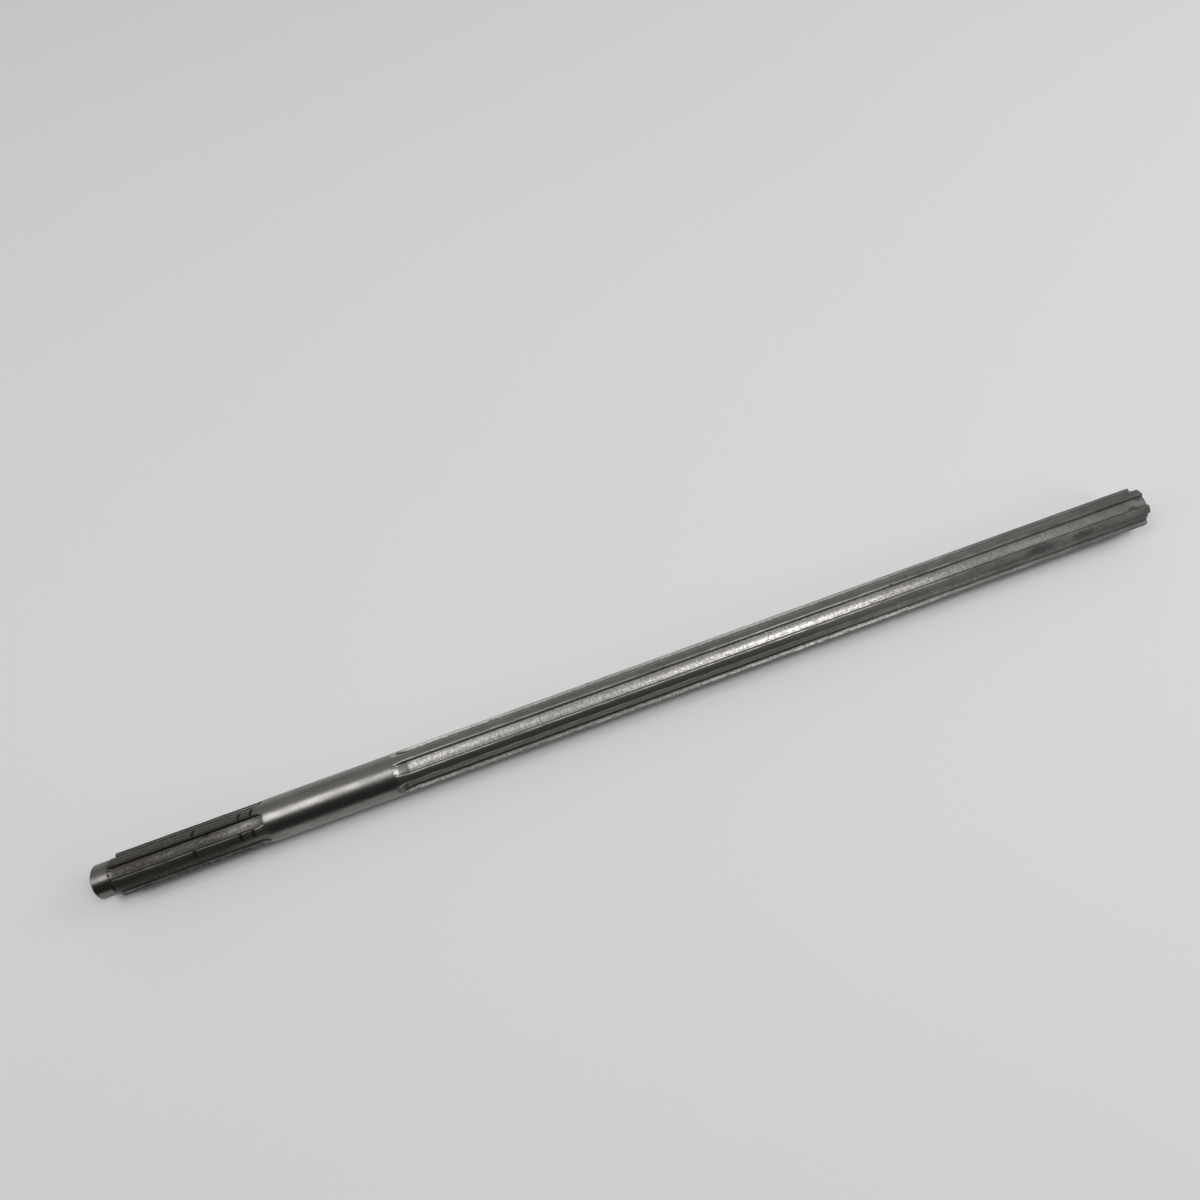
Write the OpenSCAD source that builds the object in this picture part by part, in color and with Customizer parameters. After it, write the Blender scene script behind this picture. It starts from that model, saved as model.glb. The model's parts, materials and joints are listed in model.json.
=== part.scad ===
// Splined drive shaft, turned and milled from one round bar.
// The axis runs along +X from the pilot nose to the far end. The origin is on the axis at the
// shoulder behind the nose. The shaft lies on its side, with one groove facing straight up.

/* [Nose] */
// Diameter of the pilot nose
nose_d = 19.8; // [14:0.1:19.8]
// Length of the pilot nose in front of the shoulder
nose_l = 10; // [8:0.5:30]
// Chamfer on the tip of the nose
nose_chamfer = 0.8; // [0.3:0.1:2]
// Length of the neck between the nose and the teeth
neck_l = 2.5; // [1:0.1:6]
// How far the neck lies below the groove floors
neck_relief = 0.15; // [0.1:0.05:0.2]

/* [Teeth] */
// Number of teeth on each spline
tooth_count = 6; // [4:2:8]
// Width of a tooth between its parallel flanks
tooth_w = 5; // [3:0.1:6]
// Diameter at the floor of the grooves
root_d = 20.5; // [20.3:0.1:21.8]
// Broken edge along the corners of the tooth tops
edge_break = 0.3; // [0.1:0.05:0.5]
// Fillet between a tooth's flank and the groove floor
root_fillet = 0.35; // [0.1:0.05:0.5]
// Full round left between the end of a run-out and the journal
runout_land = 0.6; // [0.5:0.1:5]

/* [Short spline] */
// Diameter over the teeth of the short spline, small enough for a bearing to pass over it
short_spline_d = 24.2; // [24:0.1:30]
// Length of the short spline, from the shoulder of the neck to the journal
short_spline_l = 90; // [40:1:160]
// Radius of the cutter that leaves the run-outs of the short spline
short_cutter_r = 12; // [8:0.5:35]
// Chamfer on the tooth ends behind the neck
tooth_end_chamfer = 0.3; // [0.2:0.1:1.5]

/* [Journal] */
// Diameter of the ground journal between the two splines
journal_d = 24.6; // [23:0.1:32]
// Length of the journal
journal_l = 75; // [30:1:150]

/* [Long spline] */
// Diameter over the teeth of the long spline
long_spline_d = 25; // [24:0.1:30]
// Length of the long spline, from the journal to the far end
long_spline_l = 475; // [150:1:600]
// Radius of the cutter that leaves the run-outs of the long spline
long_cutter_r = 22; // [8:0.5:35]
// Chamfer on the tooth ends at the far end
end_chamfer = 0.4; // [0.2:0.1:2]

/* [Centre holes] */
// Diameter of the 60 degree lathe centre at its mouth, in both ends
centre_mouth_d = 5.5; // [4:0.1:8]
// Diameter of the pilot drilling behind the lathe centre
centre_pilot_d = 2.5; // [1.5:0.1:3.5]
// Depth of the pilot drilling behind the lathe centre
centre_pilot_l = 2; // [1:0.1:4]

/* [Hidden] */
nose_r = nose_d / 2;
root_r = root_d / 2;
neck_r = root_r - neck_relief;
short_r = short_spline_d / 2;
journal_r = journal_d / 2;
long_r = long_spline_d / 2;
// The long spline starts where the journal ends
long_spline_x = short_spline_l + journal_l;
far_end_x = long_spline_x + long_spline_l;
// A groove's centre plane and the next tooth's centre plane stand this far apart
half_pitch = 180 / tooth_count;
// How far a cutter runs clear of the metal
overrun = 1;
// The fillet's centre stands this share of its radius from flank and floor, so its arc crosses both
fillet_lean = 0.95;
// Half of the angle of a lathe centre, and half of the angle of a drill's point
centre_half_angle = 30;
drill_half_angle = 59;
steel = [0.56, 0.55, 0.52];
$fn = 96;

// A point beside the tooth on the right of a groove, in the groove's own section:
// along the tooth's centre line from the axis, then towards the groove
function beside_tooth(along, aside) =
    [along * sin(half_pitch) - aside * cos(half_pitch),
     along * cos(half_pitch) + aside * sin(half_pitch)];

// Distance along a tooth's centre line at which a line beside it meets a circle about the axis
function reach(radius, aside) = sqrt(radius * radius - aside * aside);

function mirrored(point) = [-point[0], point[1]];

// Axial length of a run-out, over which the cutter climbs from the groove floor to the tooth tops
function runout_l(tip_r, cutter_r) =
    let (climb = tip_r - root_r) sqrt(climb * (2 * cutter_r - climb));

// Metal left in a groove's corner, between the flank, the floor and the fillet's arc
module root_corner() {
    flank = tooth_w / 2;
    centre_gap = root_fillet * fillet_lean;
    centre_aside = flank + centre_gap;
    centre_r = root_r + centre_gap;
    centre_along = reach(centre_r, centre_aside);
    centre = beside_tooth(centre_along, centre_aside);
    behind_flank = beside_tooth(centre_along, flank - root_fillet);
    under_corner = beside_tooth(reach(root_r, flank) - root_fillet, flank - root_fillet);
    under_floor = centre * (root_r - root_fillet) / centre_r;
    difference() {
        polygon([centre, behind_flank, under_corner, under_floor]);
        translate(centre) circle(r = root_fillet);
    }
}

// Section of one groove, with the shaft's axis at [0, 0] and the groove's middle straight up.
// Its flanks are parallel to the teeth beside it, and its floor is round about the axis.
module groove_section(tip_r) {
    flank = tooth_w / 2;
    tip_along = reach(tip_r, flank);
    below_floor = beside_tooth(reach(root_r, flank) - overrun, flank);
    edge_foot = beside_tooth(tip_along - edge_break, flank);
    edge_clear = beside_tooth(tip_along + overrun, flank - edge_break - overrun);
    above_teeth = [edge_clear[0], tip_r + overrun];
    right = [below_floor, edge_foot, edge_clear, above_teeth];
    left = [for (i = [len(right) - 1 : -1 : 0]) mirrored(right[i])];
    difference() {
        polygon(concat(right, left));
        circle(r = root_r);
        root_corner();
        mirror([1, 0]) root_corner();
    }
}

// Metal taken by one pass of the cutter: a straight groove that is open towards -X,
// and the run-out in which the round cutter climbs out just before the journal at x = 0
module groove_cut(tip_r, open_l, cutter_r) {
    cutter_axis_z = root_r + cutter_r;
    translate([-runout_land - runout_l(tip_r, cutter_r), 0, 0]) {
        translate([-open_l, 0, 0])
            rotate([90, 0, 90])
                linear_extrude(height = open_l) groove_section(tip_r);
        translate([0, 0, cutter_axis_z])
            rotate([90, 90, 0])
                rotate_extrude(angle = 90)
                    translate([cutter_axis_z, 0])
                        rotate(90) groove_section(tip_r);
    }
}

// One cut for every gap between two teeth, the first one straight up
module groove_ring(tip_r, open_l, cutter_r) {
    for (i = [0 : tooth_count - 1])
        rotate([i * 360 / tooth_count, 0, 0]) groove_cut(tip_r, open_l, cutter_r);
}

// Turned blank before milling, as a profile of radius and place along the axis
module turned_blank() {
    rotate([0, 90, 0])
        rotate_extrude()
            polygon([
                [0, -nose_l],
                [nose_r - nose_chamfer, -nose_l],
                [nose_r, nose_chamfer - nose_l],
                [nose_r, 0],
                [neck_r, 0],
                [neck_r, neck_l],
                [short_r - tooth_end_chamfer, neck_l],
                [short_r, neck_l + tooth_end_chamfer],
                [short_r, short_spline_l],
                [journal_r, short_spline_l],
                [journal_r, long_spline_x],
                [long_r, long_spline_x],
                [long_r, far_end_x - end_chamfer],
                [long_r - end_chamfer, far_end_x],
                [0, far_end_x]
            ]);
}

// Lathe centre in an end face at x = 0, drilled towards +X
module centre_hole() {
    mouth_r = centre_mouth_d / 2;
    pilot_r = centre_pilot_d / 2;
    cone_l = (mouth_r - pilot_r) / tan(centre_half_angle);
    clear_r = mouth_r + overrun * tan(centre_half_angle);
    pilot_end = cone_l + centre_pilot_l;
    rotate([0, 90, 0])
        rotate_extrude()
            polygon([
                [0, -overrun],
                [clear_r, -overrun],
                [pilot_r, cone_l],
                [pilot_r, pilot_end],
                [0, pilot_end + pilot_r / tan(drill_half_angle)]
            ]);
}

// The whole shaft: two splines with a journal between them, a neck and a pilot nose
module shaft() {
    color(steel)
        difference() {
            turned_blank();
            translate([short_spline_l, 0, 0])
                groove_ring(short_r, short_spline_l, short_cutter_r);
            translate([long_spline_x, 0, 0])
                mirror([1, 0, 0])
                    groove_ring(long_r, long_spline_l, long_cutter_r);
            translate([-nose_l, 0, 0]) centre_hole();
            translate([far_end_x, 0, 0]) mirror([1, 0, 0]) centre_hole();
        }
}

shaft();
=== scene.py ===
import json
import math
from functools import reduce
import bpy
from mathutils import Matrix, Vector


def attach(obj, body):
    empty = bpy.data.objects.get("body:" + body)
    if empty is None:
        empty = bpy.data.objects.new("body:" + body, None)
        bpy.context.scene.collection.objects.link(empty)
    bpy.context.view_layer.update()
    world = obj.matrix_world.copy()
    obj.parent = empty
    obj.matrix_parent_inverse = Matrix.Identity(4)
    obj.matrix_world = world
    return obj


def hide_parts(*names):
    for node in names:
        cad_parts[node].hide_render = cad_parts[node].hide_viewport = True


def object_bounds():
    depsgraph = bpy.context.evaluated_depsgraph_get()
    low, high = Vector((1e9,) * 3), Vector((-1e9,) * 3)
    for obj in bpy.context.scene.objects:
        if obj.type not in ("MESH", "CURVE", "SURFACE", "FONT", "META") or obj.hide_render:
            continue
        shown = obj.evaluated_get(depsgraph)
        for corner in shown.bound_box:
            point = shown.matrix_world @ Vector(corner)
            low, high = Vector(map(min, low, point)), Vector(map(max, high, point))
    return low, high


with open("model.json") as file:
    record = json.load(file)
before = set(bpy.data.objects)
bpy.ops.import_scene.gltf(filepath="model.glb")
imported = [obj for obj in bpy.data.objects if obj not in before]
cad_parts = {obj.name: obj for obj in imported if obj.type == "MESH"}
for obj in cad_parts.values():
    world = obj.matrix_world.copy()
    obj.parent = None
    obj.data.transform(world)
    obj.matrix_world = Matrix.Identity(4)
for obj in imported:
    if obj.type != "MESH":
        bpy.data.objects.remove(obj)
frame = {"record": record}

from types import SimpleNamespace

import bpy
import numpy as np
from bpy.props import FloatProperty, FloatVectorProperty, IntProperty, PointerProperty
from mathutils import Euler, Vector

bl_info = {
    "name": "Splined shaft",
    "version": (1, 0, 0),
    "blender": (4, 5, 0),
    "location": "3D View > Sidebar > Shaft",
    "description": "Builds a worn splined shaft and the plain stage that it lies on",
    "category": "Object",
}

# What the frame says of the shaft
CAD_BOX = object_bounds()
MOUNTS = {mount["name"]: mount for mount in frame["record"]["mounts"]}
NOSE = MOUNTS["nose_pilot"]["dims"]
JOURNAL = MOUNTS["journal"]["dims"]
MM = 0.001
NOSE_TIP_X = MOUNTS["nose_face"]["pos_m"][0]
FAR_END_X = MOUNTS["far_end_face"]["pos_m"][0]
JOURNAL_X = MOUNTS["journal"]["pos_m"][0]
JOURNAL_HALF = JOURNAL["length_mm"] * MM / 2
SHORT_END = JOURNAL_X - JOURNAL_HALF
LONG_START = JOURNAL_X + JOURNAL_HALF
# Half angles of a lathe centre and of a drill's point, and the least angle of a sharp edge
CENTRE_HALF_ANGLE = math.radians(30)
DRILL_HALF_ANGLE = math.radians(59)
SHARP_ANGLE = math.radians(28)


def length(name, default, description):
    """A length property in metres."""
    return FloatProperty(name=name, description=description, default=default, min=0.0,
                         unit="LENGTH", precision=5)


def finish_colour(name, default, description):
    """A colour property."""
    return FloatVectorProperty(name=name, description=description, default=default, size=3,
                               min=0.0, max=1.0, subtype="COLOR")


class ShaftSizes(bpy.types.PropertyGroup):
    """Sizes of the turned and milled shaft."""
    nose_r: length("Nose radius", NOSE["r_mm"] * MM, "Radius of the pilot nose")
    nose_chamfer: length("Nose chamfer", 0.8 * MM, "Chamfer on the tip of the nose")
    journal_r: length("Journal radius", JOURNAL["r_mm"] * MM, "Radius of the ground journal")
    short_r: length("Short spline radius", 12.1 * MM, "Radius over the teeth of the short spline")
    long_r: length("Long spline radius", CAD_BOX[1].y, "Radius over the teeth of the long spline")
    root_r: length("Root radius", 10.25 * MM, "Radius at the floor of the grooves")
    tooth_w: length("Tooth width", 5 * MM, "Width of a tooth between its flanks")
    teeth: IntProperty(name="Teeth", description="Teeth on each spline", default=6, min=4, max=8)
    edge_break: length("Broken edge", 0.3 * MM, "Broken edge along the tooth tops")
    root_fillet: length("Root fillet", 0.35 * MM, "Fillet between flank and groove floor")
    runout_land: length("Run-out land", 0.6 * MM, "Full round between a run-out and the journal")
    short_cutter_r: length("Short cutter", 12 * MM, "Cutter radius in the short spline's run-outs")
    long_cutter_r: length("Long cutter", 22 * MM, "Cutter radius in the long spline's run-outs")
    neck_l: length("Neck length", 2.5 * MM, "Length of the neck between the nose and the teeth")
    neck_r: length("Neck radius", 10.1 * MM, "Radius of the neck, just below the groove floors")
    tooth_end_chamfer: length("Tooth end chamfer", 0.3 * MM, "Chamfer on the teeth behind the neck")
    end_chamfer: length("End chamfer", 0.4 * MM, "Chamfer on the teeth at the far end")
    worn_edge: length("Worn edge", 0.85 * MM, "Wear on the driven edges of the short spline")
    centre_mouth_r: length("Centre mouth", 2.75 * MM, "Mouth radius of the lathe centres")
    centre_pilot_r: length("Centre pilot", 1.25 * MM, "Pilot radius of the lathe centres")
    centre_pilot_l: length("Pilot depth", 2 * MM, "Depth of the pilot drilling")


class ShaftFinish(bpy.types.PropertyGroup):
    """Colours of the bare steel, of what lies on it, and of the painted shade."""
    ground_steel: finish_colour("Ground steel", (0.26, 0.252, 0.236), "Ground journal and tooth tops")
    milled_steel: finish_colour("Milled steel", (0.57, 0.555, 0.52), "Bright grains of the floors")
    dark_milled_steel: finish_colour("Dark milled steel", (0.32, 0.312, 0.296),
                                     "Dark grains of the floors")
    tarnished_steel: finish_colour("Tarnished steel", (0.111, 0.109, 0.101), "Dull, handled steel")
    # Dirty steel also darkens the lower and front grooves
    dirty_steel: finish_colour("Dirty steel", (0.132, 0.128, 0.112), "Oily steel of the short spline")
    burnished_edge: finish_colour("Burnished edge", (0.60, 0.59, 0.56), "Bright metal on worn corners")
    # This black also paints shade in the root corners, on the worn edges and on the underside
    grime_and_painted_shade: finish_colour("Grime", (0.018, 0.017, 0.014), "Black oil and dirt")
    rust: finish_colour("Rust", (0.070, 0.032, 0.019), "Brown rust film")


class StageLook(bpy.types.PropertyGroup):
    """The pale floor, the soft light and the camera."""
    floor_colour: finish_colour("Floor", (0.86, 0.86, 0.86), "Pale floor under the shaft")
    lens: FloatProperty(name="Lens", description="Focal length in millimetres on a 36 mm frame",
                        default=26.4, min=1.0)
    camera_at: FloatVectorProperty(name="Camera place", description="Where the camera stands",
                                   default=(0.27148, -0.09768, 0.51037), subtype="XYZ", unit="LENGTH")
    camera_turn: FloatVectorProperty(
        name="Camera turn", description="Camera tilt, roll and heading",
        default=tuple(math.radians(a) for a in (17.4016, 1.8331, -19.8118)), subtype="EULER")


# Columns of the shaft's surface over half a pitch, from a tooth's middle to a groove's middle
LAND_STEPS = np.array([0.0, 0.3, 0.6, 0.82, 0.94, 1.0])
EDGE_STEPS = np.array([0.25, 0.5, 0.75])
FLANK_STEPS = np.array([0.0, 0.5, 1.0])
FILLET_STEPS = np.array([1 / 3, 2 / 3, 1.0])
FLOOR_STEPS = np.array([0.2, 0.4, 0.6, 0.8, 1.0])
EDGE_FROM = len(LAND_STEPS)
FLANK_FROM = EDGE_FROM + len(EDGE_STEPS)
FILLET_FROM = FLANK_FROM + len(FLANK_STEPS)
HALF_N = FILLET_FROM + len(FILLET_STEPS) + len(FLOOR_STEPS)

# Wear that stands in the surface: place along the shaft, angle from straight up, reach along
# the shaft, reach around it (both half widths in millimetres) and depth
NICKS = (
    (473.4, 19.0, 0.9, 0.7, 0.30),
    (286.2, 79.0, 0.8, 0.6, 0.25),
    (55.5, 19.5, 0.9, 0.7, 0.30),
    (32.4, 30.0, 0.6, 0.6, 0.12),
    (560.5, -19.5, 0.8, 0.6, 0.22),
    (569.8, -19.5, 0.7, 0.6, 0.20),
    (600.0, -19.5, 0.8, 0.6, 0.22),
    (632.0, -20.0, 1.0, 0.8, 0.30),
    (639.0, 32.0, 1.0, 1.4, 0.35),
    (639.2, -41.0, 0.9, 1.0, 0.30),
    (412.0, -101.0, 0.9, 0.6, 0.2),
    (228.0, 140.0, 0.9, 0.7, 0.25),
    (350.0, -161.0, 0.8, 0.6, 0.25),
)
# How much darker each groove is made, from the one behind the top groove round to the top one: most in
# the front groove and the bottom one, none in the top one
GROOVE_DARKENING = (0.15, 0.4, 0.6, 0.5, 0.85, 0.0)
# Share of a groove's darkening that lies on its flanks
FLANK_DARKENING = 0.85
# How far the groove floors rise and fall
FLOOR_RIPPLE = 0.02 * MM
# Score marks across the tooth tops of the short spline: place, half width and depth. Behind the
# top of the shaft they lean towards the journal
SCORES = ((49.2, 0.60, 0.22), (75.6, 0.55, 0.20), (82.6, 0.55, 0.20))
SCORE_LEAN = 0.3
SCORE_LEAN_FROM = 3.7 * MM


def ripple(x, wavelength, seed, shape):
    """Soft random wave along x for each entry of shape: the mean of five sines whose lengths
    spread about the wavelength, with seeded phases. Its values stay between -1 and 1."""
    rng = np.random.default_rng(seed)
    phase = rng.uniform(0, 2 * np.pi, (5, 1) + shape)
    stretch = rng.uniform(0.6, 1.7, (5, 1) + shape)
    at = np.reshape(x, (1, -1) + (1,) * len(shape))
    return np.sin(2 * np.pi * at * stretch / wavelength + phase).mean(0)


def half_section(tip, lift, edge, s):
    """Points of a tooth's half section as (along, aside) from the tooth's middle to the groove's.
    The land is an arc of the tip radius, the broken edge a parabola that reaches twice as far over
    the land as down the flank, the flank a line parallel to the tooth's middle, the fillet an arc
    that touches flank and floor, and the floor an arc of the root radius. In a run-out the groove is
    lifted out of the shaft: its floor and flanks move outwards along the groove's middle by lift."""
    half_pitch = math.pi / s.teeth
    centre_along = lift * math.cos(half_pitch)
    centre_aside = lift * math.sin(half_pitch)
    half = s.tooth_w / 2 + centre_aside
    root_along = centre_along + math.sqrt(s.root_r**2 - s.tooth_w**2 / 4)
    tip_along = np.sqrt(tip**2 - half**2)
    left_over = np.maximum(tip_along - root_along, 0.02 * MM)
    edge = np.minimum(edge, 0.5 * left_over)
    fillet = np.minimum(s.root_fillet, 0.3 * left_over)

    foot_along = tip_along - edge
    land_aside = half - 2 * edge
    land_angle = np.arcsin(land_aside / tip) * LAND_STEPS
    land = tip * np.cos(land_angle), tip * np.sin(land_angle)
    start, corner, stop = (1 - EDGE_STEPS)**2, 2 * EDGE_STEPS * (1 - EDGE_STEPS), EDGE_STEPS**2
    worn = (start * np.sqrt(tip**2 - land_aside**2) + corner * tip_along + stop * foot_along,
            start * land_aside + (corner + stop) * half)

    fillet_along = centre_along + np.sqrt((s.root_r + fillet)**2 - (half + fillet - centre_aside)**2)
    flank = foot_along + (fillet_along - foot_along) * FLANK_STEPS, half + 0 * FLANK_STEPS

    to_floor = np.arctan2(centre_aside - half - fillet, centre_along - fillet_along)
    arc = -np.pi / 2 + (to_floor + np.pi / 2) * FILLET_STEPS
    hollow = fillet_along + fillet * np.cos(arc), half + fillet + fillet * np.sin(arc)

    floor_from = np.arctan2(half + fillet - centre_aside, fillet_along - centre_along)
    sweep = floor_from + (half_pitch - floor_from) * FLOOR_STEPS
    floor = centre_along + s.root_r * np.cos(sweep), centre_aside + s.root_r * np.sin(sweep)

    parts = [np.broadcast_arrays(*pair) for pair in (land, worn, flank, hollow, floor)]
    size = np.broadcast_shapes(*(pair[0].shape[:-1] for pair in parts))
    along, aside = (np.concatenate([np.broadcast_to(pair[k], size + pair[k].shape[-1:])
                                    for pair in parts], -1) for k in (0, 1))
    return along, aside


def all_round(half):
    """Lays half sections, given for each row, tooth and side, out around the whole shaft:
    each tooth runs from the groove before it, over its middle, to just before the next groove."""
    before = half[:, :, 0, :0:-1]
    after = half[:, :, 1, :-1]
    return np.concatenate([before, after], -1).reshape(len(half), -1)


def runout_end_lift(tip, s):
    """Lift at which a groove's root corner reaches the tip radius, from the quadratic that the
    corner's distance from the axis gives."""
    half_pitch = math.pi / s.teeth
    root_along = math.sqrt(s.root_r**2 - s.tooth_w**2 / 4)
    b = 2 * (root_along * math.cos(half_pitch) + s.tooth_w / 2 * math.sin(half_pitch))
    return (math.sqrt(b * b + 4 * (tip**2 - s.root_r**2)) - b) / 2


def spread(start, end, step):
    """Evenly spaced places from start up to, but not including, end."""
    return np.linspace(start, end, max(1, round((end - start) / step)), endpoint=False)


def with_marks(places):
    """The places, with closer ones added around each nick and score that lies between them."""
    near = [place + k * reach for place, reach in
            [(n[0], n[2]) for n in NICKS] + [(m[0], m[1]) for m in SCORES]
            for k in (-1.6, -0.8, 0.0, 0.8, 1.6)]
    near = np.unique(np.round(np.array(near) / 0.25)) * 0.25 * MM
    near = near[(near > places[0]) & (near < places[-1])]
    clear = np.abs(near[:, None] - places).min(1) > 0.12 * MM
    return np.sort(np.concatenate([places, near[clear]]))


class Rows:
    """Rings of the surface in order along the shaft: place, tip radius, lift and, where the
    ring is plain round, its radius."""

    def __init__(self):
        self.parts = []

    def add(self, x, tip, lift=0.0, plain=np.nan):
        """Adds one ring, or a ring for each x."""
        self.parts.append(np.stack(np.broadcast_arrays(np.atleast_1d(x), tip, lift, plain)))

    def columns(self):
        """The four values as arrays over all rings."""
        return np.concatenate(self.parts, 1)


def shaft_rows(s):
    """The rings from the bottom of the nose's lathe centre to the bottom of the far end's."""
    rows = Rows()
    cone_l = (s.centre_mouth_r - s.centre_pilot_r) / math.tan(CENTRE_HALF_ANGLE)
    first_tip = s.short_r - s.tooth_end_chamfer
    far_tip = s.long_r - s.end_chamfer
    step = s.journal_r - s.short_r

    centre = ((cone_l + s.centre_pilot_l, s.centre_pilot_r), (cone_l, s.centre_pilot_r),
              (0.0, s.centre_mouth_r))
    for deep, radius in centre:
        rows.add(NOSE_TIP_X + deep, first_tip, plain=radius)
    rows.add(NOSE_TIP_X, first_tip, plain=0.6 * s.nose_r)
    rows.add(NOSE_TIP_X, first_tip, plain=s.nose_r - s.nose_chamfer)
    rows.add(spread(NOSE_TIP_X + s.nose_chamfer, 0.0, 0.9 * MM), first_tip, plain=s.nose_r)
    rows.add(0.0, first_tip, plain=s.nose_r)
    rows.add(np.linspace(0.0, s.neck_l, 3), first_tip, plain=s.neck_r)

    lift_end = runout_end_lift(s.short_r, s)
    climb = s.short_r - s.root_r
    runout_x = SHORT_END - s.runout_land - math.sqrt(climb * (2 * s.short_cutter_r - climb))
    x = with_marks(np.append(s.neck_l, spread(s.neck_l + s.tooth_end_chamfer, runout_x, 1.5 * MM)))
    rows.add(x, np.minimum(s.short_r, first_tip + x - s.neck_l))
    lift = np.linspace(0.0, lift_end, 17)
    away = np.sqrt(lift * (2 * s.short_cutter_r - lift))
    rows.add(runout_x + away, s.short_r, lift)
    rows.add(SHORT_END - 0.05 * MM, s.short_r, plain=s.short_r)
    rows.add(spread(SHORT_END + step, LONG_START, 3 * MM), s.journal_r, plain=s.journal_r)
    rows.add(LONG_START, s.journal_r, plain=s.journal_r)

    lift_end = runout_end_lift(s.long_r, s)
    climb = s.long_r - s.root_r
    runout_x = LONG_START + s.runout_land + math.sqrt(climb * (2 * s.long_cutter_r - climb))
    rows.add(LONG_START + 0.1 * MM, s.long_r, plain=s.long_r)
    lift = np.linspace(lift_end, 0.0, 21)
    away = np.sqrt(lift * (2 * s.long_cutter_r - lift))
    rows.add(runout_x - away, s.long_r, lift)
    x = np.concatenate([spread(runout_x, FAR_END_X - s.end_chamfer, 2.1 * MM)[1:],
                        [FAR_END_X - s.end_chamfer, FAR_END_X]])
    x = with_marks(x)
    rows.add(x, np.minimum(s.long_r, far_tip + FAR_END_X - x))
    rows.add(FAR_END_X, far_tip, plain=0.6 * s.nose_r)
    for deep, radius in reversed(centre):
        rows.add(FAR_END_X - deep, far_tip, plain=radius)
    return rows.columns()


def shaft_surface(s):
    """The shaft as radius(row, column) and angle(row, column): the splined section of each ring,
    no further out than its tip radius, less the nicks and scores. Nicks are bell-shaped dents and
    scores are bell-shaped channels across the tooth tops. The broken edges widen and narrow along
    each tooth, and the groove floors rise and fall a little, as cutter and wear left them."""
    x, tip, lift, plain = shaft_rows(s)
    row = (slice(None), None, None, None)
    wear = ripple(x, 21 * MM, 7, (s.teeth, 2)) + 0.6 * ripple(x, 5 * MM, 11, (s.teeth, 2))
    on_short = (x < JOURNAL_X).astype(float)[:, None, None]
    driven = np.array([1.0, 0.0]) * on_short
    edge = ((s.edge_break + (s.worn_edge - s.edge_break) * driven) * (1 + 0.5 * wear))[..., None]
    along, aside = half_section(tip[row], lift[row], edge, s)
    radius = all_round(np.hypot(along, aside))
    side = np.array([-1.0, 1.0])[None, None, :, None]
    tooth = (np.arange(s.teeth) * 2 + 1)[None, :, None, None] * math.pi / s.teeth
    angle = all_round(tooth + side * np.arctan2(aside, along))

    role = np.arange(HALF_N)
    groove = all_round(np.broadcast_to(role >= FILLET_FROM, edge.shape[:-1] + (HALF_N,)).astype(float))
    round_ring = ~np.isnan(plain)[:, None]
    radius = np.minimum(radius, tip[:, None])
    depth = np.clip((tip[:, None] - radius) / (s.long_r - s.root_r), 0, 1)
    wave = np.repeat(ripple(x, 9 * MM, 23, (s.teeth,)), groove.shape[1] // s.teeth, 1)
    radius = radius + FLOOR_RIPPLE * groove * depth**4 * wave

    place = x[:, None]
    for at, degrees, reach_x, reach_r, deep in NICKS:
        turn = (angle - math.radians(degrees) + math.pi) % (2 * math.pi) - math.pi
        bell = ((place - at * MM) / (reach_x * MM))**2 + (turn * radius / (reach_r * MM))**2
        radius = radius - deep * MM * np.exp(-bell)
    on_land = depth < 0.2
    lean = SCORE_LEAN * np.maximum(radius * np.sin(angle) - SCORE_LEAN_FROM, 0)
    for at, reach_x, deep in SCORES:
        bell = ((place - lean - at * MM) / (reach_x * MM))**2
        radius = radius - deep * MM * np.exp(-bell) * on_land
    radius = np.where(round_ring, np.nan_to_num(plain)[:, None], radius)
    return x, angle, radius, round_ring, depth


def by_role(values, rows, s):
    """A value for each column of a half section, laid out around the whole shaft."""
    half = np.broadcast_to(np.asarray(values, float), (rows, s.teeth, 2, HALF_N))
    return all_round(half)


def grid_faces(rows, columns):
    """Quads of a grid that closes around its columns, and a fan of triangles on each end's pole.
    The poles are the two vertices after the grid."""
    at = np.arange(rows * columns).reshape(rows, columns)
    beside = np.roll(at, -1, 1)
    quads = np.stack([at[:-1], at[1:], beside[1:], beside[:-1]], -1).reshape(-1, 4)
    first = np.full(columns, rows * columns)
    start = np.stack([first, at[0], beside[0]], -1)
    end = np.stack([first + 1, beside[-1], at[-1]], -1)
    return quads, np.concatenate([start, end])


def mesh_from(name, points, quads, triangles):
    """A mesh of quads and triangles, from whole arrays."""
    mesh = bpy.data.meshes.new(name)
    loops = np.concatenate([quads.ravel(), triangles.ravel()])
    starts = np.concatenate([np.arange(len(quads)) * 4,
                             len(quads) * 4 + np.arange(len(triangles)) * 3])
    mesh.vertices.add(len(points))
    mesh.vertices.foreach_set("co", points.astype(np.float32).ravel())
    mesh.loops.add(len(loops))
    mesh.loops.foreach_set("vertex_index", loops.astype(np.int32))
    mesh.polygons.add(len(starts))
    mesh.polygons.foreach_set("loop_start", starts.astype(np.int32))
    mesh.polygons.foreach_set("use_smooth", np.ones(len(starts), bool))
    mesh.update(calc_edges=True)
    mesh.validate()
    return mesh


def surface_value(mesh, name, values):
    """Keeps a value for each vertex, for the material to read."""
    layer = mesh.attributes.new(name, "FLOAT", "POINT")
    layer.data.foreach_set("value", np.append(values, [0.0, 0.0]).astype(np.float32))


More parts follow.
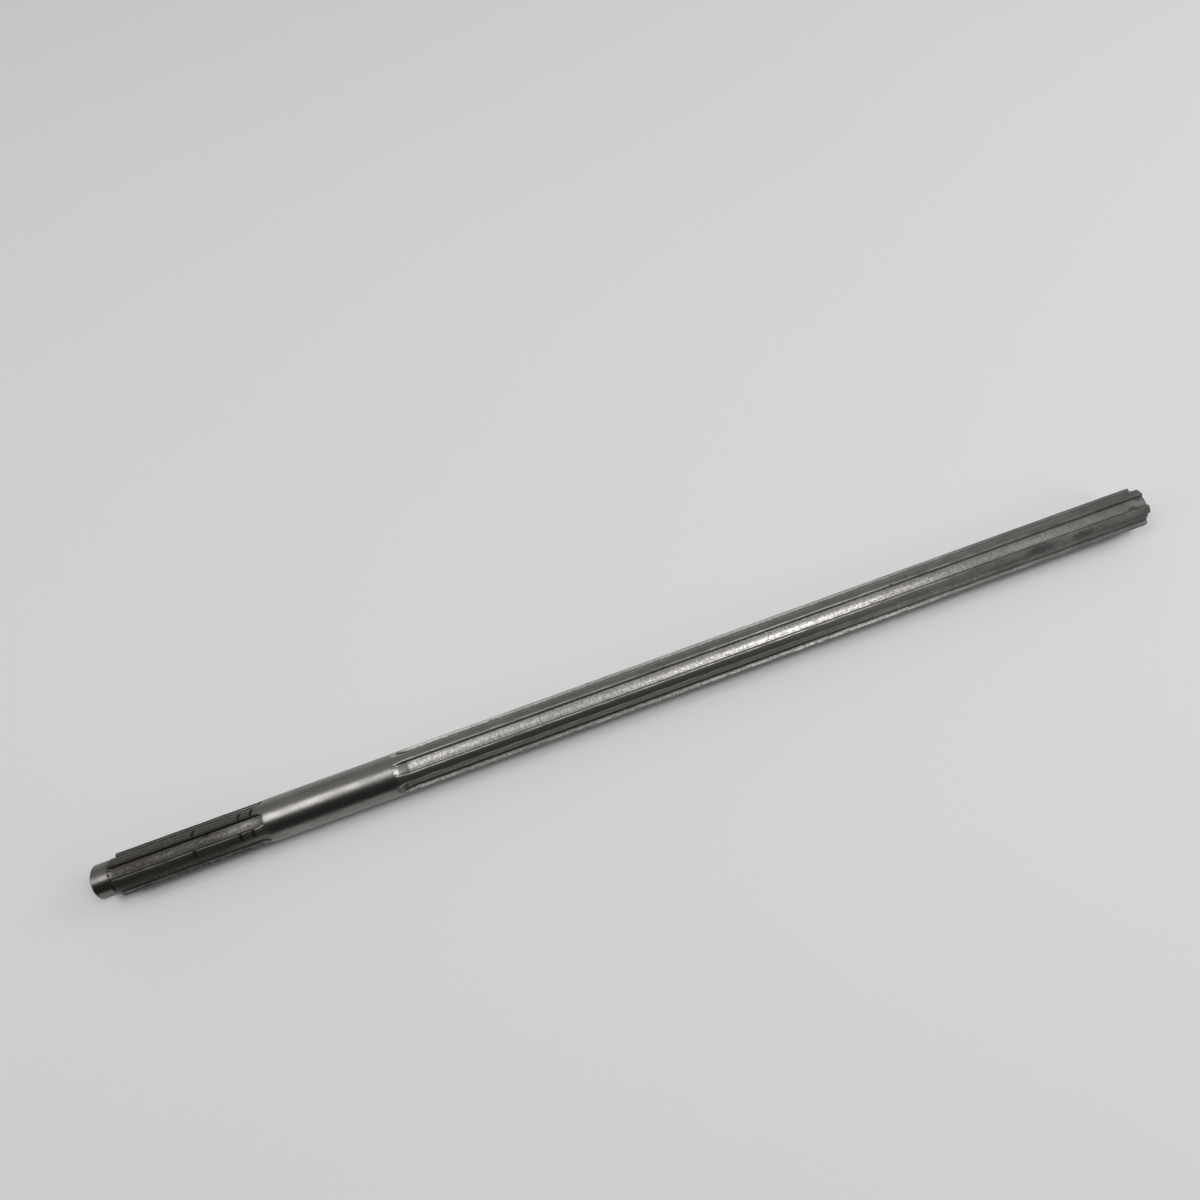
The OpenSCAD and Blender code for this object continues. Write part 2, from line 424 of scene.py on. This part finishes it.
class Wiring:
    """Adds nodes to a tree, with sockets given by name as values or as other nodes' outputs."""

    def __init__(self, tree):
        self.tree = tree

    def put(self, kind, options=None, **sockets):
        """Adds a node. A socket is given by its name, or by a letter and its number."""
        node = self.tree.nodes.new(kind)
        for key, value in (options or {}).items():
            setattr(node, key, value)
        for key, value in sockets.items():
            place = int(key[1:]) if key[1:].isdigit() else key.replace("_", " ")
            self.plug(node.inputs[place], value)
        return node

    def plug(self, socket, value):
        """Links an output to a socket, or sets the socket's own value."""
        if isinstance(value, bpy.types.NodeSocket):
            self.tree.links.new(value, socket)
        else:
            socket.default_value = value

    def math(self, operation, *values, clamp=False):
        """A sum on values."""
        node = self.put("ShaderNodeMath", {"operation": operation, "use_clamp": clamp},
                        **{f"i{k}": value for k, value in enumerate(values)})
        return node.outputs[0]

    def product(self, *values):
        """Multiplies values."""
        return reduce(lambda a, b: self.math("MULTIPLY", a, b), values)

    def highest(self, *values):
        """The highest of values."""
        return reduce(lambda a, b: self.math("MAXIMUM", a, b), values)

    def total(self, *values):
        """Adds values."""
        return reduce(lambda a, b: self.math("ADD", a, b), values)

    def vector(self, operation, *values):
        """A sum on vectors."""
        node = self.put("ShaderNodeVectorMath", {"operation": operation},
                        **{f"i{k}": value for k, value in enumerate(values)})
        return node.outputs["Value" if operation == "LENGTH" else "Vector"]

    def ramp(self, value, low, high, to_low=0.0, to_high=1.0):
        """Smooth step of a value from low to high."""
        node = self.put("ShaderNodeMapRange", {"interpolation_type": "SMOOTHSTEP"}, Value=value,
                        From_Min=low, From_Max=high, To_Min=to_low, To_Max=to_high)
        return node.outputs["Result"]

    def from_here(self, along, place, start, end):
        """Rises from 0 to 1 between two distances, in millimetres, from a place on the shaft."""
        return self.ramp(along, place + start * MM, place + end * MM)

    def up_to(self, along, place, start, end):
        """Falls from 1 to 0 between two distances, in millimetres, from a place on the shaft."""
        return self.ramp(along, place + start * MM, place + end * MM, 1.0, 0.0)

    def mix(self, share, low, high):
        """Mixes two colours."""
        node = self.put("ShaderNodeMix", {"data_type": "RGBA"}, i0=share)
        self.plug(node.inputs[6], low)
        self.plug(node.inputs[7], high)
        return node.outputs[2]

    def blend(self, share, low, high):
        """Mixes two values."""
        return self.put("ShaderNodeMix", {"data_type": "FLOAT"}, i0=share, i2=low, i3=high).outputs[0]

    def noise(self, coordinates, scale, detail=2.0, roughness=0.5):
        """Noise on coordinates stretched by a scale for each axis, in features per metre."""
        spread_out = self.vector("MULTIPLY", coordinates, scale)
        node = self.put("ShaderNodeTexNoise", Vector=spread_out, Scale=1.0, Detail=detail,
                        Roughness=roughness)
        return node.outputs["Fac"]

    def value_of(self, name):
        """A value kept on the mesh."""
        return self.put("ShaderNodeAttribute", {"attribute_name": name}).outputs["Fac"]


def socket(group, name, direction, kind="NodeSocketFloat", default=None):
    """Adds a socket to a node group."""
    made = group.interface.new_socket(name=name, in_out=direction, socket_type=kind)
    if default is not None:
        made.default_value = default


def stain_group():
    """Mask of one stain: 1 inside an ellipsoid about a place, with a ragged, soft border."""
    group = bpy.data.node_groups.new("stain", "ShaderNodeTree")
    socket(group, "Place", "INPUT", "NodeSocketVector")
    socket(group, "Reach", "INPUT", "NodeSocketVector")
    socket(group, "Ragged", "INPUT", default=1.8)
    socket(group, "Mask", "OUTPUT")
    w = Wiring(group)
    given = w.put("NodeGroupInput").outputs
    at = w.put("ShaderNodeTexCoord").outputs["Object"]
    off = w.vector("DIVIDE", w.vector("SUBTRACT", at, given["Place"]), given["Reach"])
    grain = w.noise(at, (520.0, 800.0, 800.0), 4.0, 0.7)
    uneven = w.math("MULTIPLY", w.math("SUBTRACT", grain, 0.5), given["Ragged"])
    distance = w.math("ADD", w.vector("LENGTH", off), uneven)
    mask = w.ramp(distance, 0.35, 1.05, 1.0, 0.0)
    w.put("NodeGroupOutput", Mask=mask)
    return group


# Stains: place along the shaft, angle from straight up, radius, half width along the shaft and
# half width across it, all in millimetres and degrees, then how strong the stain is
STAINS = (
    (57.2, 16.0, 11.0, 3.4, 2.8, 1.0),
    (57.3, 12.5, 10.4, 4.5, 2.4, 0.5),
    (81.0, -27.0, 12.1, 6.0, 3.0, 0.55),
    (167.5, -60.0, 11.6, 4.0, 4.5, 0.75),
    (32.4, 30.0, 12.1, 0.8, 0.8, 0.6),
    (54.5, 33.0, 12.1, 0.9, 0.8, 0.6),
    (568.5, -30.0, 12.5, 12.5, 3.4, 0.6),
    (595.5, -32.0, 12.5, 9.0, 2.8, 0.6),
    (560.3, -18.5, 12.0, 1.2, 0.9, 0.8),
    (569.8, -18.5, 12.0, 1.2, 0.9, 0.8),
    (600.0, -18.5, 12.0, 1.3, 0.9, 0.8),
    (632.0, -18.0, 11.6, 2.2, 1.2, 0.85),
    (473.4, 18.0, 12.2, 1.6, 0.9, 0.8),
    (484.0, 27.0, 12.5, 1.8, 1.0, 0.45),
    (545.0, 29.0, 12.5, 1.2, 0.8, 0.45),
    (286.2, 78.0, 12.4, 1.6, 1.0, 0.85),
    (638.0, -30.0, 12.0, 3.2, 3.4, 0.2),
    (630.5, -11.0, 10.25, 3.2, 1.5, 0.7),
    (636.5, 11.0, 10.25, 2.6, 1.5, 0.6),
)


# Noises of the finish: features per metre along each axis, detail and roughness
NOISES = {
    "speckle": ((950.0, 520.0, 520.0), 3.0, 0.6),
    "grain": ((2600.0, 2600.0, 2600.0), 2.0, 0.5),
    "scratches": ((45.0, 1500.0, 1500.0), 3.0, 0.6),
    "turning": ((3600.0, 30.0, 30.0), 2.0, 0.6),
    "clouds": ((55.0, 160.0, 160.0), 4.0, 0.6),
    "blotches": ((260.0, 420.0, 420.0), 4.0, 0.65),
    "mottle": ((620.0, 800.0, 800.0), 3.0, 0.6),
    "grit": ((1100.0, 1400.0, 1400.0), 3.0, 0.7),
}


def shared_masks(w):
    """What all parts of the finish read: the values kept on the mesh, the noises, and the zones of
    the shaft, each a product of smooth steps along the axis and of values kept on the mesh."""
    at = w.put("ShaderNodeTexCoord").outputs["Object"]
    axes = w.put("ShaderNodeSeparateXYZ", Vector=at).outputs
    m = SimpleNamespace(along=axes["X"], across=axes["Y"])
    for name in ("floor", "edge", "root", "turned", "worn", "settled"):
        setattr(m, name, w.value_of(name))
    for name, (scale, detail, roughness) in NOISES.items():
        setattr(m, name, w.noise(at, scale, detail, roughness))

    m.splined = w.math("SUBTRACT", 1.0, m.turned, clamp=True)
    m.on_short = w.up_to(m.along, SHORT_END, -1.0, 0.2)
    m.at_left = w.blend(m.floor, w.up_to(m.along, SHORT_END, -16.0, 3.0), m.on_short)
    m.at_right = w.product(w.from_here(m.along, FAR_END_X, -250.0, -70.0), m.splined)
    m.torn = w.product(w.from_here(m.along, LONG_START, -0.2, 0.2),
                       w.up_to(m.along, LONG_START, 2.6, 3.8), w.ramp(m.floor, 0.02, 0.2))
    m.low = w.math("MULTIPLY_ADD", m.across, 0.5, axes["Z"])
    # Painted shade: darker towards the underside of the short spline and of the nose
    m.under = w.product(w.up_to(m.low, 0.0, -2.0, 1.2), m.at_left, w.blend(m.turned, 1.0, 0.6))
    m.ring = w.product(w.from_here(m.along, 0.0, -0.6, 0.1), w.up_to(m.along, 0.0, 1.2, 3.4))
    return m


def bare_colour(w, m, look):
    """Colour of the steel without dirt, and how dull it is: milled floors between ground tops, tarnish
    in clouds, at the far end and in the run-outs, duller and darker steel towards the bottom and front
    of the splines, oil on the short spline, darker floors and flanks in the lower and front grooves, and
    bright metal on the corners."""
    oily = w.product(m.at_left, w.blend(m.turned, 0.92, 0.38))
    short_runout = w.product(w.from_here(m.along, SHORT_END, -6.2, -3.4), m.on_short,
                             w.ramp(m.floor, 0.05, 0.3, 0.0, 0.85))
    oily = w.highest(oily, short_runout)
    milled = w.mix(w.ramp(m.speckle, 0.38, 0.62), (*look.dark_milled_steel, 1.0),
                   (*look.milled_steel, 1.0))
    colour = w.mix(m.floor, (*look.ground_steel, 1.0), milled)

    clouded = w.product(w.ramp(m.clouds, 0.35, 0.7), w.blend(m.floor, 0.40, 0.15))
    far_end = w.product(m.at_right, w.ramp(m.along, 0.57, 0.63, 0.7, 0.85))
    long_runout = w.product(w.from_here(m.along, LONG_START, 3.0, 4.0),
                            w.up_to(m.along, LONG_START, 8.5, 10.2), m.floor, 0.75)
    # Duller and darker towards the bottom and front of the splines, mottled
    duller_low = w.product(w.up_to(m.low, 0.0, -4.0, 0.5), m.splined,
                        w.ramp(m.mottle, 0.38, 0.60, 0.15, 0.85))
    dull = w.highest(w.math("ADD", clouded, far_end, clamp=True), long_runout, duller_low)
    colour = w.mix(dull, colour, (*look.tarnished_steel, 1.0))
    # Darker floors and flanks in the lower and front grooves, fading out before the far end
    settled = w.product(m.settled, w.up_to(m.along, FAR_END_X, -240.0, -110.0))
    colour = w.mix(w.highest(oily, settled), colour, (*look.dirty_steel, 1.0))

    clean = w.math("SUBTRACT", 0.9, w.math("ADD", dull, oily), clamp=True)
    corners = w.product(m.edge, w.ramp(m.scratches, 0.3, 0.6), clean)
    tears = w.product(m.torn, w.ramp(m.mottle, 0.35, 0.55))
    return w.mix(w.highest(corners, tears), colour, (*look.burnished_edge, 1.0)), dull


def stain_spots(w, stain):
    """Mask of each stain, as strong as it is."""
    spots = []
    for x, degrees, radius, reach_x, reach, strength in STAINS:
        turn = math.radians(degrees)
        place = Vector((x, radius * math.sin(turn), radius * math.cos(turn))) * MM
        spot = w.put("ShaderNodeGroup", {"node_tree": stain}, Place=place,
                     Reach=Vector((reach_x, reach, reach)) * MM)
        spots.append(w.product(spot.outputs["Mask"], strength))
    return spots


def score_lines(w, m):
    """Mask of each score mark: dark within its reach along the shaft, less its lean."""
    lean = w.math("MAXIMUM", w.math("SUBTRACT", m.across, SCORE_LEAN_FROM), 0.0)
    upright = w.math("SUBTRACT", m.along, w.product(lean, SCORE_LEAN))
    on_tops = w.math("SUBTRACT", 1.0, m.floor, clamp=True)
    lines = []
    for x, reach_x, _ in SCORES:
        off = w.math("ABSOLUTE", w.math("SUBTRACT", upright, x * MM))
        lines.append(w.product(w.up_to(off, 0.0, 1.2 * reach_x, 1.9 * reach_x), on_tops))
    return lines


def black_dirt_and_painted_shade(w, m, stain):
    """How much black dirt and painted shade lies at a point: the highest of all that the finish has.
    Shade is painted in the root corners, on the worn driven edges and on the underside of the short
    spline and nose.
    """
    blotched = w.product(w.ramp(m.blotches, 0.38, 0.75), w.blend(m.at_left, 0.05, 0.45),
                         w.blend(m.turned, 1.0, 0.3))
    # Dirt and painted shade darken the root corners
    dirt_and_shade_in_roots = w.product(m.root, w.blend(m.at_left, 0.55, 0.95))
    # Dirt and painted shade darken the worn driven edges of the short spline
    dirt_and_shade_on_edges = w.product(m.worn, 0.9)
    specks = w.product(w.ramp(m.mottle, 0.56, 0.70), w.blend(m.turned, 0.55, 0.1), m.at_left)
    in_tears = w.product(m.torn, w.ramp(m.mottle, 0.36, 0.46, 0.85, 0.0))
    # Painted shade on the underside of the short spline and nose, broken up by the blotches
    below = w.product(m.under, w.ramp(m.blotches, 0.35, 0.6, 0.45, 0.9))
    in_grooves = w.product(m.floor, w.up_to(m.along, SHORT_END, -34.0, -6.0),
                           w.ramp(m.grit, 0.35, 0.65, 0.46, 1.0))
    behind_nose = w.product(m.ring, w.ramp(m.blotches, 0.38, 0.56, 0.25, 1.0))
    return w.highest(blotched, dirt_and_shade_in_roots, dirt_and_shade_on_edges, specks, in_tears, below, in_grooves, behind_nose,
                     *stain_spots(w, stain), *score_lines(w, m))


def rust_film(w, m, stain):
    """How much rust lies at a point: a thin film at both ends, behind the nose, and flecks in the
    top groove of the short spline."""
    at_ends = w.math("ADD", w.product(m.at_left, 0.25), w.product(m.at_right, 0.25))
    film = w.product(w.ramp(m.blotches, 0.5, 0.68), w.ramp(m.clouds, 0.4, 0.6), at_ends,
                     w.blend(m.turned, 1.0, 0.4))
    behind_nose = w.product(m.ring, w.ramp(m.blotches, 0.3, 0.6, 0.2, 0.0))
    patch = w.put("ShaderNodeGroup", {"node_tree": stain}, Place=Vector((16.5, 1.0, 10.25)) * MM,
                  Reach=Vector((11.0, 3.2, 1.8)) * MM, Ragged=2.0)
    flecks = w.product(patch.outputs["Mask"], w.ramp(m.mottle, 0.44, 0.60, 0.05, 0.85))
    return w.highest(film, behind_nose, flecks)


def relief(w, m):
    """Height of the fine grain in millimetres: milled floors, scratched tops, turning lines, pits
    on the short spline and torn run-outs."""
    milled = w.product(w.math("SUBTRACT", m.speckle, 0.5), m.floor, 0.10)
    scratched = w.product(m.scratches, m.splined, w.math("SUBTRACT", 1.0, m.floor), 0.02)
    lines = w.product(m.turning, m.turned, 0.004)
    fine = w.product(m.grain, 0.008)
    pits = w.product(m.blotches, m.at_left, w.blend(m.turned, 0.08, 0.02))
    tears = w.product(m.mottle, m.torn, 0.3)
    return w.total(milled, scratched, lines, fine, pits, tears)


def worn_steel(look):
    """Bare milled steel: ground journal with fine turning lines, tooth tops with long scratches, groove
    floors with a speckled milled face, bright worn corners, root corners dark with dirt and painted
    shade, a dirty and rusty short spline with painted shade on its underside, and black stains near the
    far end."""
    material = bpy.data.materials.new("worn_steel")
    material.use_nodes = True
    tree = material.node_tree
    tree.nodes.clear()
    w = Wiring(tree)
    m = shared_masks(w)
    stain = stain_group()
    colour, dull = bare_colour(w, m, look)
    dirty = black_dirt_and_painted_shade(w, m, stain)
    rusty = rust_film(w, m, stain)
    # Black dirt, and painted shade in the root corners, on the worn edges and on the underside
    colour = w.mix(dirty, colour, (*look.grime_and_painted_shade, 1.0))
    colour = w.mix(rusty, colour, (*look.rust, 1.0))

    milled_rough = w.blend(m.floor, 0.38, w.ramp(m.speckle, 0.3, 0.7, 0.41, 0.28))
    turned_rough = w.blend(m.at_left, w.ramp(m.turning, 0.3, 0.7, 0.268, 0.292), 0.265)
    rough = w.total(w.blend(m.turned, milled_rough, turned_rough), w.product(dull, 0.12),
                    w.product(dirty, 0.12), w.product(rusty, 0.2))
    # Less metallic under dirt and rust, at the far end, and where shade is painted on the underside
    covered = w.highest(w.product(dirty, 0.3), rusty, w.product(m.at_right, 0.9),
                        w.product(m.under, 0.8))
    metal = w.math("SUBTRACT", 1.0, w.product(covered, 0.7))
    bump = w.put("ShaderNodeBump", Strength=1.0, Distance=MM, Height=relief(w, m))

    steel = w.put("ShaderNodeBsdfPrincipled", Base_Color=colour, Metallic=metal, Roughness=rough,
                  Normal=bump.outputs["Normal"])
    w.put("ShaderNodeOutputMaterial", Surface=steel.outputs["BSDF"])
    return material


class SHAFT_OT_steel_shaft(bpy.types.Operator):
    """Builds the one-piece shaft: nose, short spline, journal and long spline"""
    bl_idname = "shaft.steel_shaft"
    bl_label = "Build the shaft"

    def execute(self, context):
        s = context.scene.shaft_sizes
        x, angle, radius, round_ring, depth = shaft_surface(s)
        rows, columns = radius.shape
        points = np.stack([np.broadcast_to(x[:, None], radius.shape), radius * np.sin(angle),
                           radius * np.cos(angle)], -1).reshape(-1, 3)
        drill = s.centre_pilot_r / math.tan(DRILL_HALF_ANGLE)
        poles = np.array([[x[0] + drill, 0, 0], [x[-1] - drill, 0, 0]])
        mesh = mesh_from("shaft_surface", np.concatenate([points, poles]), *grid_faces(rows, columns))

        cut = np.where(round_ring, 0.0, depth)
        role = np.arange(HALF_N)
        floor_role = (role >= FLANK_FROM).astype(float)
        edge_role = ((role >= EDGE_FROM) & (role <= FLANK_FROM)).astype(float)
        root_role = ((role >= FILLET_FROM - 1) & (role <= FILLET_FROM + 1)).astype(float)
        spline_ring = np.where(round_ring, 0.0, 1.0)
        deep_ring = np.clip(3 * cut.max(1, keepdims=True), 0, 1)
        surface_value(mesh, "floor", (by_role(floor_role, rows, s) * np.sqrt(cut)).ravel())
        surface_value(mesh, "edge", (by_role(edge_role, rows, s) * spline_ring * deep_ring).ravel())
        # How much darker each groove's floor and flanks are made
        after = np.resize(GROOVE_DARKENING, s.teeth)
        beside = np.stack([np.roll(after, 1), after], 1)[None, :, :, None]
        lies = np.where(role >= FILLET_FROM, 1.0, FLANK_DARKENING * floor_role)
        settled = np.broadcast_to(beside * lies, (rows, s.teeth, 2, HALF_N))
        surface_value(mesh, "settled", (all_round(settled) * cut).ravel())
        driven = np.zeros((rows, s.teeth, 2, HALF_N))
        driven[:, :, 0] = edge_role * (x < SHORT_END)[:, None, None]
        surface_value(mesh, "worn", (all_round(driven) * spline_ring * deep_ring).ravel())
        surface_value(mesh, "root", (by_role(root_role, rows, s) * spline_ring * deep_ring).ravel())
        surface_value(mesh, "turned", np.broadcast_to(1 - spline_ring * deep_ring, radius.shape).ravel())
        mesh.set_sharp_from_angle(angle=SHARP_ANGLE)

        shaft = bpy.data.objects.new("steel_shaft", mesh)
        context.scene.collection.objects.link(shaft)
        mesh.materials.append(worn_steel(context.scene.shaft_finish))
        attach(shaft, "root")
        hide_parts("shaft")
        return {"FINISHED"}


# Soft lamps: name, place, aim (the shaft's middle where none is given), size and power in watts
LAMPS = (
    ("lamp_over_journal", (-0.45, 0.28, 1.52), (0.1, 0.0, 0.0), (0.94, 0.62), 6.2),
    ("lamp_over_long_spline", (0.89, -0.03, 1.5), (0.41, 0.0, 0.0), (0.36, 0.5), 4.9),
    ("side_lamp_left", (-1.5, 0.25, 1.1), None, (0.5, 0.6), 2.2),
    ("side_lamp_right", (2.2, 0.24, 1.11), None, (1.0, 1.0), 8.5),
    ("front_lamp_right", (1.7, -0.95, 0.85), None, (0.8, 0.8), 3.8),
)
# Reach of the floor to each side, and its gap below the shaft
FLOOR_REACH = 40.0
FLOOR_GAP = 0.02 * MM
# Light of the room along the horizon, and above it in front of the shaft and behind it
HORIZON_LIGHT = 0.20
FRONT_LIGHT = 0.035
BACK_LIGHT = 0.41


def floor_material(colour):
    """Matt pale floor with a faint cloudiness."""
    material = bpy.data.materials.new("pale_floor")
    material.use_nodes = True
    tree = material.node_tree
    tree.nodes.clear()
    w = Wiring(tree)
    at = w.put("ShaderNodeTexCoord").outputs["Object"]
    clouds = w.noise(at, (2.0, 2.0, 2.0), 3.0)
    darker = tuple(0.97 * c for c in colour)
    tint = w.mix(clouds, (*colour, 1.0), (*darker, 1.0))
    matt = w.put("ShaderNodeBsdfPrincipled", Base_Color=tint, Roughness=0.75)
    w.put("ShaderNodeOutputMaterial", Surface=matt.outputs["BSDF"])
    return material


def soft_lamp(scene, name, place, aim, size, power):
    """A rectangular soft lamp at a place, turned to an aim point."""
    lamp = bpy.data.lights.new(name, "AREA")
    lamp.shape = "RECTANGLE"
    lamp.size, lamp.size_y = size
    lamp.energy = power
    thing = bpy.data.objects.new(name, lamp)
    thing.location = place
    thing.rotation_euler = (Vector(aim) - Vector(place)).to_track_quat("-Z", "Y").to_euler()
    scene.collection.objects.link(thing)


def room_light(scene):
    """A dim room as the world: grey behind the shaft, dark in front of it, and along the
    horizon as grey as the far floor."""
    world = bpy.data.worlds.new("dim_room")
    scene.world = world
    world.use_nodes = True
    tree = world.node_tree
    tree.nodes.clear()
    w = Wiring(tree)
    way = w.put("ShaderNodeSeparateXYZ", Vector=w.put("ShaderNodeTexCoord").outputs["Generated"])
    behind = w.ramp(way.outputs["Y"], -0.35, 0.05)
    above = w.ramp(way.outputs["Z"], 0.0, 0.10)
    back = w.math("MULTIPLY_ADD", way.outputs["Z"], 0.02, BACK_LIGHT)
    level = w.blend(above, HORIZON_LIGHT, w.blend(behind, FRONT_LIGHT, back))
    sky = w.put("ShaderNodeBackground", Color=(1.0, 1.0, 1.0, 1.0), Strength=level)
    w.put("ShaderNodeOutputWorld", Surface=sky.outputs["Background"])


class SHAFT_OT_stage(bpy.types.Operator):
    """Builds the pale floor, the soft lamps and the camera"""
    bl_idname = "shaft.stage"
    bl_label = "Build the stage"

    def execute(self, context):
        scene = context.scene
        look = scene.shaft_stage
        middle = (CAD_BOX[0] + CAD_BOX[1]) / 2
        below = CAD_BOX[0].z - FLOOR_GAP
        corners = [(middle.x + x * FLOOR_REACH, y * FLOOR_REACH, below)
                   for x, y in ((-1, -1), (1, -1), (1, 1), (-1, 1))]
        mesh = bpy.data.meshes.new("floor")
        mesh.from_pydata(corners, [], [(0, 1, 2, 3)])
        mesh.materials.append(floor_material(tuple(look.floor_colour)))
        floor = bpy.data.objects.new("floor", mesh)
        scene.collection.objects.link(floor)

        for name, place, aim, size, power in LAMPS:
            soft_lamp(scene, name, place, aim or middle, size, power)
        room_light(scene)

        view = bpy.data.cameras.new("camera")
        view.lens = look.lens
        view.sensor_width = 36.0
        camera = bpy.data.objects.new("camera", view)
        camera.location = look.camera_at
        camera.rotation_euler = Euler(look.camera_turn, "XYZ")
        view.clip_start = 0.01
        scene.collection.objects.link(camera)
        scene.camera = camera
        scene.view_settings.view_transform = "Standard"
        return {"FINISHED"}


class SHAFT_PT_panel(bpy.types.Panel):
    """Lists the shaft's sizes, finish and stage"""
    bl_idname = "SHAFT_PT_panel"
    bl_label = "Splined shaft"
    bl_space_type = "VIEW_3D"
    bl_region_type = "UI"
    bl_category = "Shaft"

    def draw(self, context):
        for operator, settings in ((SHAFT_OT_steel_shaft, ("shaft_sizes", "shaft_finish")),
                                   (SHAFT_OT_stage, ("shaft_stage",))):
            self.layout.operator(operator.bl_idname)
            for name in settings:
                group = getattr(context.scene, name)
                for key in group.__annotations__:
                    self.layout.prop(group, key)


CLASSES = (ShaftSizes, ShaftFinish, StageLook, SHAFT_OT_steel_shaft, SHAFT_OT_stage, SHAFT_PT_panel)


def register():
    """Adds the classes and the settings of a scene."""
    for cls in CLASSES:
        bpy.utils.register_class(cls)
    bpy.types.Scene.shaft_sizes = PointerProperty(type=ShaftSizes)
    bpy.types.Scene.shaft_finish = PointerProperty(type=ShaftFinish)
    bpy.types.Scene.shaft_stage = PointerProperty(type=StageLook)


def unregister():
    """Takes the settings and the classes away again."""
    for name in ("shaft_sizes", "shaft_finish", "shaft_stage"):
        delattr(bpy.types.Scene, name)
    for cls in reversed(CLASSES):
        bpy.utils.unregister_class(cls)


def main():
    """Builds the shaft and the stage."""
    register()
    bpy.ops.shaft.steel_shaft()
    bpy.ops.shaft.stage()


if __name__ == "__main__":
    main()
